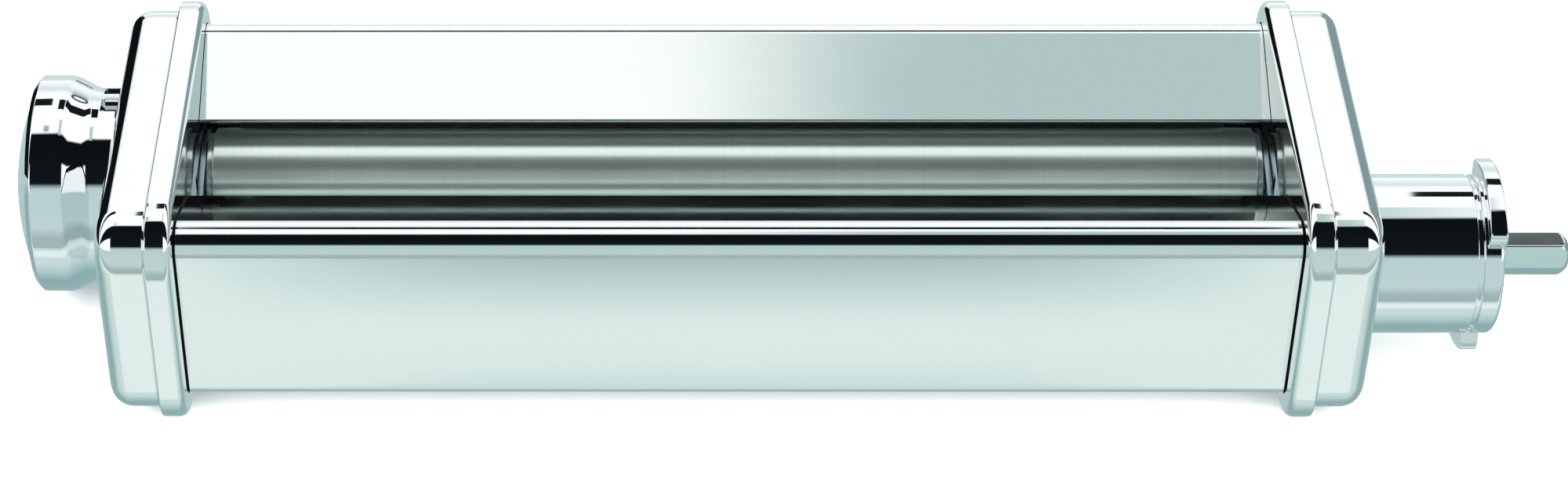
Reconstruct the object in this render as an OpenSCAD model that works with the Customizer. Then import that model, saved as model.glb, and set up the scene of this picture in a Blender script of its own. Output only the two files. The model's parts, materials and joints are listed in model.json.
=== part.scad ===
// Roller attachment for sheeting pasta dough, driven from a stand mixer's power hub.
// Axes: +X runs along the rollers towards the drive collar, +Y to the back, +Z up.
// Origin: middle of the overall box in plan, on the plane that the side frames stand on.

/* [Side frames and covers] */
// Clear width between the two side frames
clear_w = 150; // [130:1:170]
// Thickness of each side frame plate
frame_t = 3.5; // [3.2:0.1:4]
// Depth of a side frame from front to back
frame_depth = 57.9; // [57:0.1:62]
// Height of a side frame
frame_height = 35.6; // [35.4:0.1:38]
// Corner radius of a side frame
frame_corner = 7.5; // [6.5:0.1:8]
// Rounding of a side frame's inner edge
frame_edge = 1.2; // [0.8:0.1:1.5]
// How far a cover's outline sits inside the side frame's
cover_inset = 1.4; // [1:0.1:1.6]
// How far a cover stands out from the side frame
cover_depth = 7.1; // [7:0.1:8]
// Wall of a cover
cover_wall = 1.5; // [1.4:0.1:1.6]
// Rounding of a cover's outer edge
cover_edge = 3; // [2:0.1:3.2]

/* [Panels] */
// Thickness of the panels' sheet steel
sheet_t = 0.8; // [0.6:0.1:0.9]
// Distance from the middle to a panel's outer face
panel_half = 24.9; // [24.5:0.1:25.2]
// Height of the panels' top bend above the base
panel_top = 31.8; // [31.5:0.1:32]
// Height of the panels' lower edge above the base
panel_low = 4.2; // [3.8:0.1:4.4]
// Width of the flange turned in along a panel's lower edge
flange_w = 6.5; // [5:0.1:7]

/* [Rollers] */
// Roller radius
roller_r = 7.2; // [7:0.05:7.2]
// Height of the roller axes above the base
axis_z = 16; // [15.8:0.1:16.2]
// Driven roller's axis in front of the middle
drive_back = -8.45; // [-8.5:0.05:-8.4]
// Gap between the rollers at the widest setting
gap_wide = 2; // [1.9:0.05:2]
// Gap between the rollers at the narrowest setting
gap_narrow = 0.2; // [0.2:0.05:0.4]

/* [Knob] */
// Radius of the knob's rim
knob_r = 15.3; // [14.5:0.1:15.4]
// Radius of the knob's stem
stem_r = 13.5; // [13.4:0.1:13.6]
// Number of thickness settings
settings = 10; // [8:1:10]
// Angle between neighbouring settings
setting_step = 20; // [18:0.5:20]

/* [Drive] */
// Radius of the bayonet collar
collar_r = 11; // [10.8:0.1:11.2]
// Length of the bayonet collar from the cover
collar_len = 18.4; // [18:0.1:20]
// Outer radius of the bayonet lugs
lug_r = 13.3; // [13:0.1:13.6]
// Width across flats of the drive hex
hex_flats = 5.3; // [5:0.05:5.4]
// How far the hex reaches past the collar
hex_reach = 10.6; // [8:0.1:12]

/* [Gears] */
// Teeth on each roller gear
teeth = 10; // [10:1:10]
// Radius of the gears' pitch circle at the narrowest setting
pitch_r = 7.3; // [7.25:0.05:7.3]
// Radius over the tooth tips
tip_r = 8.5; // [8.4:0.05:8.5]
// Radius at the tooth roots
root_r = 5.75; // [5.6:0.05:5.8]

/* [Hidden] */
$fn = 64;

// Where the halves meet: distances from the plane midway between the side frames
inner_x = clear_w / 2;
frame_x = inner_x + frame_t;
cover_x = frame_x + cover_depth;
collar_x = cover_x + collar_len;
hex_x = collar_x + hex_reach;

// Knob stations along X, all measured outwards from the left cover's face
knob_gap = 0.3;
stem_x = cover_x + knob_gap;
stem_len = 3.7;
cone_x = stem_x + stem_len;
cone_len = 3.4;
rim_x = cone_x + cone_len;
rim_w = 4.3;
rim_chamfer = 0.8;
rim_end_x = rim_x + rim_w + rim_chamfer;
dome_h = 2.9;
knob_end_x = rim_end_x + dome_h;

// The overall box is centred on X = 0, so the roller middle lies a little to the left
mid_x = (knob_end_x - hex_x) / 2;

// Axes
travel = gap_wide - gap_narrow;
rear_back = drive_back + 2 * roller_r + gap_wide;
shaft_back = rear_back - travel / 2;

// Fits
run = 0.05;
slip = 0.2;

// Shafts and journals
shaft_r = 2.2;
roller_bore = 3.4;
drive_journal = 4.5;
rear_journal = 4.6;
drive_r = 3.5;
body_len = 73.2;
shoulder_len = 74;
shoulder_r = 6.5;

// Where the journals end at the knob end, and what they run in
drive_end_x = frame_x + 0.3;
rear_end_x = frame_x + 0.4;
front_bush_r = 6;
front_bush_len = frame_t + 0.1;
collar_bore = 6.5;
roller_screw_r = 1.5;
roller_screw_len = 7;

// Tie rods and the screws that hold the covers, as [distance from the middle, height]
rod_low = [19.5, 8.7];
rod_high = [20.2, 21.5];
cover_low = [14.2, 5.8];
cover_high = [17, 26.2];
rod_r = 2;
rod_screw_r = 1.25;
rod_head_r = 2.6;
rod_head_t = 1.6;
cover_screw_r = 1;
cover_head_r = 1.8;
cover_head_t = 1.3;
post_r = 2.4;

// Gears and the cams that slide the rear roller
gear_x = 79.9;
gear_t = 1.8;
cam_low = 4;
cam_play = 0.15;
cam_room = 0.3;
left_cam_x = 79.6;
left_cam_t = 3;
right_cam_x = 82.05;
right_cam_t = 1.05;
block_half = 6.4;
block_x = 75.1;
bridge_x = 78.6;
block_front = 0.9;
block_rear = 14.4;

// Index pin, seen from the knob axis: its radius from the axis and its angle from +Y up
pin_r = 1.2;
pin_orbit = 13.3;
pin_angle = 87;
pin_len = 2.4;

// ---- Placing -------------------------------------------------------------------------------

// Stands a shape drawn in the Y-Z plane and raised along Z so that it runs along +X from x.
module along(x) {
    translate([mid_x + x, 0, 0]) rotate([90, 0, 90]) children();
}

// The same at the left-hand side, running outwards from the middle: the mirror image of along.
module along_left(x) {
    translate([mid_x - x, 0, 0]) mirror([1, 0, 0]) rotate([90, 0, 90]) children();
}

// side is 1 for the right-hand end and -1 for the left-hand end.
module outwards(side, x) {
    if (side > 0) along(x) children();
    else along_left(x) children();
}

module at_drive() { translate([drive_back, axis_z, 0]) children(); }
module at_rear() { translate([rear_back, axis_z, 0]) children(); }
module at_shaft() { translate([shaft_back, axis_z, 0]) children(); }

// Places a child at front and back of the middle.
module both_sides(at) {
    for (s = [-1, 1]) translate([s * at[0], at[1], 0]) children();
}

// ---- Shared shapes -------------------------------------------------------------------------

// A plate with round corners whose far edge is rounded all round, lying on z = 0.
module soft_plate(w, h, corner, thick, edge) {
    x = w / 2 - corner;
    y = h / 2 - corner;
    module section(inner) {
        translate([-inner, 0]) square([inner + corner, thick - edge]);
        translate([-inner, 0]) square([inner + corner - edge, thick]);
        translate([corner - edge, thick - edge]) circle(edge);
    }
    for (a = [-1, 1], b = [-1, 1]) {
        translate([a * x, b * y, 0]) rotate_extrude() intersection() {
            section(0);
            square([corner, thick]);
        }
    }
    for (a = [0, 180]) rotate(a) {
        translate([x, -y, 0]) rotate([90, 0, 0]) mirror([0, 0, 1])
            linear_extrude(2 * y) section(0);
        translate([-x, y, 0]) rotate([90, 0, 90]) linear_extrude(2 * x) section(0);
    }
    translate([-x, -y, 0]) cube([2 * x, 2 * y, thick]);
}

// Flat outline with round corners.
module round_box(w, h, corner) {
    square([w - 2 * corner, h], center = true);
    square([w, h - 2 * corner], center = true);
    for (a = [-1, 1], b = [-1, 1])
        translate([a * (w / 2 - corner), b * (h / 2 - corner)]) circle(corner);
}

module tube(r_out, r_in, len) {
    difference() {
        cylinder(r = r_out, h = len);
        translate([0, 0, -1]) cylinder(r = r_in, h = len + 2);
    }
}

// Cap screw standing on z = 0 with its shank going down.
module cap_screw(head_r, head_t, r, len, socket) {
    difference() {
        union() {
            cylinder(r = head_r, h = head_t);
            translate([0, 0, -len]) cylinder(r = r, h = len + head_t / 2);
        }
        translate([0, 0, head_t / 2]) cylinder(r = socket, h = head_t, $fn = 6);
    }
}

function arc(c, r, from, to, n) =
    [for (i = [0:n]) let (a = from + (to - from) * i / n) c + r * [cos(a), sin(a)]];

function flip(points) = [for (i = [len(points) - 1:-1:0]) points[i]];

// ---- Side frames, covers and panels --------------------------------------------------------

front_panel_fold = [21, 9.1, 26.7, 3];
rear_panel_fold = [21.8, 8.25, 26.68, 2.3];

// Section of a panel behind the middle. fold is [where the slope starts, how far its edge is from
// the middle, the edge's height, outer radius of the top bend]; grow thickens it for the grooves.
function panel_outline(fold, grow) =
    let (
        t = sheet_t + 2 * grow,
        half = panel_half + grow,
        top = panel_top + grow,
        low = panel_low - grow,
        bend = fold[3] + grow,
        lower_bend = 1.6 + grow,
        slope = atan2(panel_top - fold[2], fold[0] - fold[1]),
        crease = [fold[0], top],
        edge = [fold[1], fold[2]] + grow * [-sin(slope), cos(slope)],
        n = 10
    )
    concat(
        [[half - flange_w, low]],
        arc([half - lower_bend, low + lower_bend], lower_bend, -90, 0, n),
        arc([half - bend, top - bend], bend, 0, 90, n),
        [crease, edge, edge + t * [sin(slope), -cos(slope)]],
        [crease + t / cos(slope / 2) * [sin(slope / 2), -cos(slope / 2)]],
        flip(arc([half - bend, top - bend], bend - t, 0, 90, n)),
        flip(arc([half - lower_bend, low + lower_bend], lower_bend - t, -90, 0, n)),
        [[half - flange_w, low + t]]
    );

panel_tuck = 0.6;

module panel(side, fold) {
    along(-inner_x - panel_tuck) mirror([side < 0 ? 1 : 0, 0])
        linear_extrude(2 * (inner_x + panel_tuck)) polygon(panel_outline(fold, 0));
}

module panel_grooves() {
    depth = panel_tuck + 0.1;
    translate([0, 0, -1]) linear_extrude(depth + 1) {
        polygon(panel_outline(rear_panel_fold, 0.1));
        mirror([1, 0]) polygon(panel_outline(front_panel_fold, 0.1));
    }
}

// Drawn from the inner face outwards; the rounded edge is on the inner face.
module side_frame(side) {
    slot_front = rear_back - block_half - travel - run;
    slot_rear = rear_back + block_half + run;
    outwards(side, inner_x) difference() {
        translate([0, frame_height / 2, frame_t]) mirror([0, 0, 1])
            soft_plate(frame_depth, frame_height, frame_corner, frame_t, frame_edge);
        panel_grooves();
        at_drive() translate([0, 0, -1]) cylinder(r = front_bush_r, h = frame_t + 2);
        translate([slot_front, axis_z - block_half - run, -1])
            cube([slot_rear - slot_front, 2 * (block_half + run), frame_t + 2]);
        both_sides(rod_low) translate([0, 0, -1]) cylinder(r = rod_screw_r + slip, h = frame_t + 2);
        both_sides(rod_high) translate([0, 0, -1]) cylinder(r = rod_screw_r + slip, h = frame_t + 2);
        both_sides(cover_low) translate([0, 0, -1]) cylinder(r = cover_screw_r + slip, h = frame_t + 2);
        both_sides(cover_high) translate([0, 0, -1]) cylinder(r = cover_screw_r + slip, h = frame_t + 2);
    }
}

module left_side_frame() { color("gainsboro") side_frame(-1); }
module right_side_frame() { color("gainsboro") side_frame(1); }

// A cover is a shallow box with posts for its four screws, open towards the side frame.
module cover_shell() {
    w = frame_depth - 2 * cover_inset;
    h = frame_height - 2 * cover_inset;
    corner = frame_corner - cover_inset;
    pilot_depth = 4;
    difference() {
        union() {
            difference() {
                translate([0, frame_height / 2, 0])
                    soft_plate(w, h, corner, cover_depth, cover_edge);
                translate([0, frame_height / 2, -1])
                    linear_extrude(cover_depth - cover_wall + 1)
                        round_box(w - 2 * cover_wall, h - 2 * cover_wall, corner - cover_wall);
            }
            both_sides(cover_low) cylinder(r = post_r, h = cover_depth - cover_wall / 2);
            both_sides(cover_high) cylinder(r = post_r, h = cover_depth - cover_wall / 2);
        }
        both_sides(cover_low) translate([0, 0, -1]) cylinder(r = cover_screw_r, h = pilot_depth + 1);
        both_sides(cover_high) translate([0, 0, -1]) cylinder(r = cover_screw_r, h = pilot_depth + 1);
    }
}

left_bush_r = 4;
pin_seat = 0.9;

module left_cover() {
    color("gainsboro") along_left(frame_x) difference() {
        cover_shell();
        at_shaft() translate([0, 0, -1]) cylinder(r = left_bush_r, h = cover_depth + 2);
        at_shaft() rotate(pin_angle) translate([pin_orbit, 0, cover_depth - pin_seat])
            cylinder(r = pin_r, h = pin_seat + 1);
    }
}

right_bush_r = 3.4;
right_bush_x = 83.5;
right_bush_len = 1.7;
collar_screw_r = 1;
collar_screw_orbit = 8.8;
collar_screw_angles = [140, 180, 220];

module right_cover() {
    color("gainsboro") along(frame_x) difference() {
        union() {
            cover_shell();
            at_shaft() translate([0, 0, right_bush_x - frame_x])
                cylinder(r = right_bush_r + 1, h = cover_x - cover_wall / 2 - right_bush_x);
        }
        at_shaft() translate([0, 0, right_bush_x - frame_x - 1])
            cylinder(r = right_bush_r, h = right_bush_len + 1);
        at_drive() translate([0, 0, -1]) cylinder(r = collar_bore, h = cover_depth + 2);
        at_drive() for (a = collar_screw_angles) rotate(a) translate([collar_screw_orbit, 0, 0])
            cylinder(r = collar_screw_r + slip, h = cover_depth + 1);
    }
}

module front_panel() { color("silver") panel(-1, front_panel_fold); }
module rear_panel() { color("silver") panel(1, rear_panel_fold); }

// Guard against dough at a side frame, peaked above each roller and dipped over the gap.
guard_t = 0.75;
guard_front = -15.6;
guard_back = 14.9;
guard_foot = 9;
guard_shoulder = 19.6;
guard_peak = 22.3;
guard_dip = [-0.75, 19.9];
guard_peak_out = 9;

module end_guard(side) {
    outwards(side, inner_x - guard_t - run) difference() {
        linear_extrude(guard_t) polygon([
            [guard_front, guard_foot], [guard_back, guard_foot], [guard_back, guard_shoulder],
            [guard_dip[0] + guard_peak_out, guard_peak], guard_dip,
            [guard_dip[0] - guard_peak_out, guard_peak], [guard_front, guard_shoulder]
        ]);
        at_drive() translate([0, 0, -1]) cylinder(r = drive_journal + cam_room, h = 3);
        for (y = [rear_back, rear_back - travel]) translate([y, axis_z, -1])
            cylinder(r = rear_journal + cam_room, h = 3);
    }
}

module left_end_guard() { color("slategray") end_guard(-1); }
module right_end_guard() { color("slategray") end_guard(1); }

// ---- Tie rods, bushes, scrapers and screws -------------------------------------------------

module tie_rod(y, z) {
    tap_depth = 10;
    color("silver") along(-inner_x) translate([y, z, 0]) difference() {
        cylinder(r = rod_r, h = clear_w);
        translate([0, 0, -1]) cylinder(r = rod_screw_r, h = tap_depth + 1);
        translate([0, 0, clear_w - tap_depth]) cylinder(r = rod_screw_r, h = tap_depth + 1);
    }
}

module front_lower_tie_rod() { tie_rod(-rod_low[0], rod_low[1]); }
module rear_lower_tie_rod() { tie_rod(rod_low[0], rod_low[1]); }
module front_upper_tie_rod() { tie_rod(-rod_high[0], rod_high[1]); }
module rear_upper_tie_rod() { tie_rod(rod_high[0], rod_high[1]); }

module tie_rod_screws(side) {
    color("dimgray") outwards(side, frame_x) {
        both_sides(rod_low) cap_screw(rod_head_r, rod_head_t, rod_screw_r, 10, 1.1);
        both_sides(rod_high) cap_screw(rod_head_r, rod_head_t, rod_screw_r, 10, 1.1);
    }
}

module left_tie_rod_screws() { tie_rod_screws(-1); }
module right_tie_rod_screws() { tie_rod_screws(1); }

// Driven from the inner face outwards into the cover's posts.
module cover_screws(side) {
    color("dimgray") outwards(side, inner_x) mirror([0, 0, 1]) {
        both_sides(cover_low) cap_screw(cover_head_r, cover_head_t, cover_screw_r, 7, 0.8);
        both_sides(cover_high) cap_screw(cover_head_r, cover_head_t, cover_screw_r, 7, 0.8);
    }
}

module left_cover_screws() { cover_screws(-1); }
module right_cover_screws() { cover_screws(1); }

module front_bush(side) {
    color("peru") outwards(side, inner_x + run) at_drive()
        tube(front_bush_r, drive_journal + run, front_bush_len);
}

module left_front_bush() { front_bush(-1); }
module right_front_bush() { front_bush(1); }

// Nylon scraper: a sleeve on a lower tie rod with a blade that reaches to the roller.
module scraper(side, roller_back) {
    length = clear_w - 6;
    sleeve_r = 3;
    blade_root = [-1, 2.6];
    blade_tip = 0.5;
    lip = [side * roller_back, axis_z] + (roller_r + 0.3) * [cos(45), -sin(45)];
    color("ghostwhite") along(-length / 2) mirror([side < 0 ? 1 : 0, 0]) difference() {
        linear_extrude(length) {
            translate(rod_low) circle(sleeve_r);
            polygon([
                rod_low + blade_root, lip + [0.1, blade_tip / 2], lip + [0.2, -blade_tip],
                rod_low + [blade_root[0], -blade_root[1]]
            ]);
        }
        translate([rod_low[0], rod_low[1], -1]) cylinder(r = rod_r, h = length + 2);
    }
}

module front_scraper() { scraper(-1, drive_back); }
module rear_scraper() { scraper(1, rear_back); }

module index_pin() {
    color("silver") along_left(cover_x - pin_seat) at_shaft() rotate(pin_angle)
        translate([pin_orbit, 0, 0]) {
            cylinder(r = pin_r, h = pin_seat + pin_len - 0.3);
            translate([0, 0, pin_seat + pin_len - 0.3]) cylinder(r1 = pin_r, r2 = pin_r - 0.3, h = 0.3);
        }
}

module left_shaft_bush() {
    color("peru") along_left(cover_x - cover_wall - 0.7) at_shaft()
        tube(left_bush_r, shaft_r + run, cover_wall + 0.7);
}

module right_shaft_bush() {
    color("peru") along(right_bush_x) at_shaft() tube(right_bush_r, shaft_r + run, right_bush_len);
}

// ---- Drive collar --------------------------------------------------------------------------

module lug(from, x, width) {
    translate([0, 0, x]) rotate(from) rotate_extrude(angle = 90)
        translate([collar_r - 1, 0]) square([lug_r - collar_r + 1, width]);
}

recess_depth = 3;

module drive_collar() {
    groove_x = collar_len - 3.6;
    lug_w = 2.4;
    color("gainsboro") along(cover_x) at_drive() difference() {
        union() {
            cylinder(r = collar_r, h = groove_x);
            cylinder(r = collar_r - 0.5, h = collar_len);
            translate([0, 0, groove_x + 0.8]) cylinder(r = collar_r, h = collar_len - groove_x - 1.4);
            translate([0, 0, collar_len - 0.6])
                cylinder(r1 = collar_r, r2 = collar_r - 0.6, h = 0.6);
            lug(50, collar_len - lug_w - 0.1, lug_w);
            lug(222, collar_len - lug_w - 1.6, lug_w);
        }
        translate([0, 0, -1]) cylinder(r = collar_bore, h = collar_len + 2);
        for (a = collar_screw_angles) rotate(a) translate([collar_screw_orbit, 0, -1])
            cylinder(r = collar_screw_r, h = 7);
    }
}

module collar_bush() {
    color("peru") along(cover_x) at_drive()
        tube(collar_bore, drive_r + run, collar_len - recess_depth);
}

// Screwed from inside the cover into the collar.
module collar_screws() {
    color("dimgray") along(cover_x - cover_wall) at_drive() mirror([0, 0, 1])
        for (a = collar_screw_angles) rotate(a) translate([collar_screw_orbit, 0, 0])
            cap_screw(1.7, 1, collar_screw_r, 6.5, 0.8);
}

// ---- Driven roller -------------------------------------------------------------------------

shaft_root = 60;

module drive_roller() {
    color("lightgray") difference() {
        union() {
            along(-body_len) at_drive() cylinder(r = roller_r, h = 2 * body_len);
            along(-shoulder_len) at_drive() cylinder(r = shoulder_r, h = 2 * shoulder_len);
            along(-drive_end_x) at_drive()
                cylinder(r = drive_journal, h = drive_end_x + gear_x + gear_t);
        }
        along(shaft_root) at_drive() cylinder(r = drive_r, h = frame_x);
        along(-drive_end_x - 1) at_drive() cylinder(r = roller_screw_r, h = roller_screw_len + 2);
        along(gear_x) at_drive() key(drive_journal);
    }
}

// Round where it runs in the bushes, six-sided where the mixer's socket takes it.
module drive_shaft() {
    hex_start = collar_x - recess_depth + 0.6;
    tip = 1.2;
    hex_r = hex_flats / sqrt(3);
    color("darkgray") {
        along(shaft_root) at_drive() cylinder(r = drive_r, h = hex_start - shaft_root);
        along(hex_start) at_drive() rotate(10) intersection() {
            cylinder(r = hex_r, h = hex_x - hex_start, $fn = 6);
            union() {
                cylinder(r = hex_r + 0.1, h = hex_x - hex_start - tip);
                translate([0, 0, hex_x - hex_start - tip])
                    cylinder(r1 = hex_r + 0.1, r2 = hex_r - tip, h = tip);
            }
        }
    }
}

// Key that stops a gear turning on its journal, seated half in each.
key_w = 1.4;
key_sink = 0.5;
key_h = 1;

module key(journal) {
    translate([journal - key_sink, -key_w / 2, 0]) cube([key_h, key_w, gear_t]);
}

module drive_gear_key() { color("dimgray") along(gear_x) at_drive() key(drive_journal); }

module drive_roller_screw() {
    color("dimgray") along_left(drive_end_x) at_drive()
        cap_screw(5.2, 1.3, roller_screw_r, roller_screw_len, 1.6);
}

// Involute spur gear with a tooth pointing along +X, thinned for backlash.
pressure = 25;
backlash = 3.2;

function involute(r) = let (base = pitch_r * cos(pressure), a = r > base ? acos(base / r) : 0)
    tan(a) * 180 / PI - a;

function half_tooth(r) = 90 / teeth - backlash / 2 + involute(pitch_r) - involute(r);

function gear_outline() = [
    for (k = [0:teeth - 1], i = [0:13])
        let (
            up = i < 7,
            step = up ? i : 13 - i,
            r = root_r + (tip_r - root_r) * step / 6,
            a = k * 360 / teeth + (up ? -1 : 1) * half_tooth(r)
        )
        r * [cos(a), sin(a)]
];

module gear(bore) {
    linear_extrude(gear_t) difference() {
        polygon(gear_outline());
        circle(bore);
    }
}

module drive_gear() {
    color("darkgray") along(gear_x) at_drive() difference() {
        gear(drive_journal);
        key(drive_journal);
    }
}

// ---- Adjustable roller and its carriage ----------------------------------------------------

module rear_roller() {
    color("lightgray") difference() {
        union() {
            along(-body_len) at_rear() cylinder(r = roller_r, h = 2 * body_len);
            along(-shoulder_len) at_rear() cylinder(r = shoulder_r, h = 2 * shoulder_len);
            along(-rear_end_x) at_rear()
                cylinder(r = rear_journal, h = rear_end_x + gear_x + gear_t);
        }
        along(-frame_x - 1) at_rear() cylinder(r = roller_bore, h = 2 * frame_x + 10);
        along(gear_x) at_rear() key(rear_journal);
    }
}

// Turned half a tooth, so that it is in mesh with the drive gear.
module driven_gear() {
    color("darkgray") along(gear_x) at_rear() difference() {
        rotate(180 / teeth) gear(rear_journal);
        key(rear_journal);
    }
}

module driven_gear_key() { color("dimgray") along(gear_x) at_rear() key(rear_journal); }

// Window that the cam turns in, as drawn from the shaft axis with the carriage at rest.
module cam_window(thick) {
    front = cam_low + cam_play;
    rear = cam_low + travel + cam_play;
    half = cam_low + travel + cam_room;
    translate([-front, -half, 0]) cube([front + rear, 2 * half, thick]);
}

// Clears the lower posts of a cover, which the carriage moves away from.
module post_room() {
    both_sides(cover_low) cylinder(r = post_r + slip, h = cover_depth);
}

module left_bearing_block() {
    pocket_x = 79.4;
    outer_x = 82.8;
    high = 7.6;
    color("tan") difference() {
        union() {
            along_left(block_x) translate([rear_back - block_half, axis_z - block_half, 0])
                cube([2 * block_half, 2 * block_half, bridge_x - block_x]);
            along_left(bridge_x) translate([block_front, axis_z - high, 0])
                cube([block_rear - block_front, 2 * high, outer_x - bridge_x]);
        }
        along_left(block_x - 1) at_rear() cylinder(r = rear_journal + run, h = outer_x);
        along_left(pocket_x) at_shaft() cam_window(outer_x);
    }
}

module right_bearing_block() {
    plate_t = 1.1;
    window_x = 81.95;
    outer_x = 83.2;
    arm_in = 8.9;
    arm_out = 10.4;
    arm_half = 3;
    color("tan") difference() {
        union() {
            along(block_x) translate([rear_back - block_half, axis_z - block_half, 0])
                cube([2 * block_half, 2 * block_half, bridge_x - block_x + plate_t]);
            along(bridge_x) translate([rear_back - block_half, axis_z - arm_out, 0])
                cube([2 * block_half, 2 * arm_out, plate_t]);
            for (s = [-1, 1]) along(bridge_x) translate([rear_back, axis_z + s * (arm_in + arm_out) / 2, 0])
                translate([-arm_half, -(arm_out - arm_in) / 2, 0])
                    cube([2 * arm_half, arm_out - arm_in, outer_x - bridge_x]);
            along(window_x) translate([block_front, axis_z - arm_out, 0])
                cube([block_rear - block_front, 2 * arm_out, outer_x - window_x]);
        }
        along(block_x - 1) at_rear() cylinder(r = rear_journal + run, h = plate_t + bridge_x - block_x + 2);
        along(window_x - 0.5) at_shaft() cam_window(3);
        along(frame_x) post_room();
    }
}

// ---- Adjusting shaft with its cams ---------------------------------------------------------

hex_shaft_x = 85.8;
shaft_left = 98;
shaft_right = 85;
screw_hole_r = 1.2;

module adjusting_shaft() {
    color("darkgray") difference() {
        union() {
            along_left(-shaft_right) at_shaft() cylinder(r = shaft_r, h = hex_shaft_x + shaft_right);
            along_left(hex_shaft_x) at_shaft() cylinder(r = shaft_r, h = shaft_left - hex_shaft_x, $fn = 6);
        }
        along_left(shaft_left - 6) at_shaft() cylinder(r = screw_hole_r, h = 7);
    }
}

// Heart cam of constant width: its radius falls evenly from the side that faces the back at rest.
module cam(thick) {
    difference() {
        linear_extrude(thick) polygon([
            for (a = [-180:5:175]) (cam_low + travel * (1 - abs(a) / 180)) * [cos(a), sin(a)]
        ]);
        translate([0, 0, -1]) cylinder(r = shaft_r, h = thick + 2);
    }
}

module left_cam() { color("darkgray") along_left(left_cam_x) at_shaft() cam(left_cam_t); }
module right_cam() { color("darkgray") along(right_cam_x) at_shaft() cam(right_cam_t); }

module knob_screw() {
    color("dimgray") along_left(shaft_left) at_shaft() cap_screw(3.6, 1.2, screw_hole_r, 5.5, 1);
}

// ---- Knob ----------------------------------------------------------------------------------

knob_bore_r = 4;
knob_shoulder_x = 90.5;
relief_r = 12;
relief_depth = 2.4;
dimple_r = 1.5;
dimple_depth = 0.5;

// The knob's back is cut away where the index pin passes, with a dimple at each setting.
module pin_relief() {
    end = asin((pin_r + slip) / pin_orbit);
    sweep = setting_step * (settings - 1);
    rotate(pin_angle - sweep - end) rotate_extrude(angle = sweep + 2 * end)
        translate([relief_r, -1]) square([stem_r - relief_r + 1, relief_depth + 1]);
    for (k = [0:settings - 1]) rotate(pin_angle - k * setting_step)
        translate([pin_orbit, 0, -1]) cylinder(r = dimple_r, h = relief_depth + dimple_depth + 1);
}

module knob() {
    color("gainsboro") along_left(stem_x) at_shaft() difference() {
        rotate_extrude() polygon([
            [0, 0], [stem_r, 0], [stem_r, stem_len], [knob_r, stem_len + cone_len],
            [knob_r, stem_len + cone_len + rim_w],
            [knob_r - rim_chamfer, rim_end_x - stem_x], [0, rim_end_x - stem_x]
        ]);
        translate([0, 0, knob_shoulder_x - stem_x]) cylinder(r = knob_bore_r, h = 20);
        translate([0, 0, -1]) cylinder(r = shaft_r + 0.06, h = 20, $fn = 6);
        pin_relief();
    }
}

module knob_cap() {
    cap_r = 13.6;
    pocket_h = 1.5;
    ball_r = (cap_r * cap_r + dome_h * dome_h) / (2 * dome_h);
    color("gainsboro") along_left(rim_end_x) at_shaft() difference() {
        rotate_extrude() intersection() {
            translate([0, dome_h - ball_r]) circle(ball_r, $fn = 180);
            square([cap_r + 1, dome_h + 1]);
        }
        translate([0, 0, -1]) cylinder(r = knob_bore_r + 0.5, h = pocket_h + 1);
    }
}

// Return spring between the knob's inner shoulder and the head of its screw.
module knob_spring() {
    wire = 0.28;
    coil_r = 3.1;
    turns = 5;
    sides = 8;
    per_turn = 20;
    start = knob_shoulder_x + wire + 0.02;
    height = shaft_left - knob_shoulder_x - 2 * wire - 0.04;
    rings = turns * per_turn;
    points = [
        for (i = [0:rings], j = [0:sides - 1])
            let (a = i * 360 / per_turn, b = j * 360 / sides, r = coil_r + wire * cos(b))
            [r * cos(a), r * sin(a), height * i / rings + wire * sin(b)]
    ];
    faces = concat(
        [[for (j = [0:sides - 1]) j]],
        [[for (j = [sides - 1:-1:0]) rings * sides + j]],
        [for (i = [0:rings - 1], j = [0:sides - 1])
            let (k = (j + 1) % sides)
            [i * sides + j, (i + 1) * sides + j, (i + 1) * sides + k, i * sides + k]]
    );
    color("silver") along_left(start) at_shaft() polyhedron(points, faces);
}

// ---- Drawing -------------------------------------------------------------------------------

left_side_frame();
right_side_frame();
left_cover();
right_cover();
front_panel();
rear_panel();
drive_collar();
collar_bush();
collar_screws();
front_lower_tie_rod();
rear_lower_tie_rod();
front_upper_tie_rod();
rear_upper_tie_rod();
left_tie_rod_screws();
right_tie_rod_screws();
left_cover_screws();
right_cover_screws();
left_front_bush();
right_front_bush();
left_end_guard();
right_end_guard();
front_scraper();
rear_scraper();
index_pin();
left_shaft_bush();
right_shaft_bush();
drive_roller();
drive_shaft();
drive_gear();
drive_gear_key();
drive_roller_screw();
rear_roller();
driven_gear();
driven_gear_key();
left_bearing_block();
right_bearing_block();
adjusting_shaft();
left_cam();
right_cam();
knob_screw();
knob();
knob_cap();
knob_spring();
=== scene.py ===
import json
import math

import bmesh
import bpy
import numpy as np
from mathutils import Matrix, Vector
from mathutils.geometry import tessellate_polygon


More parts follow.
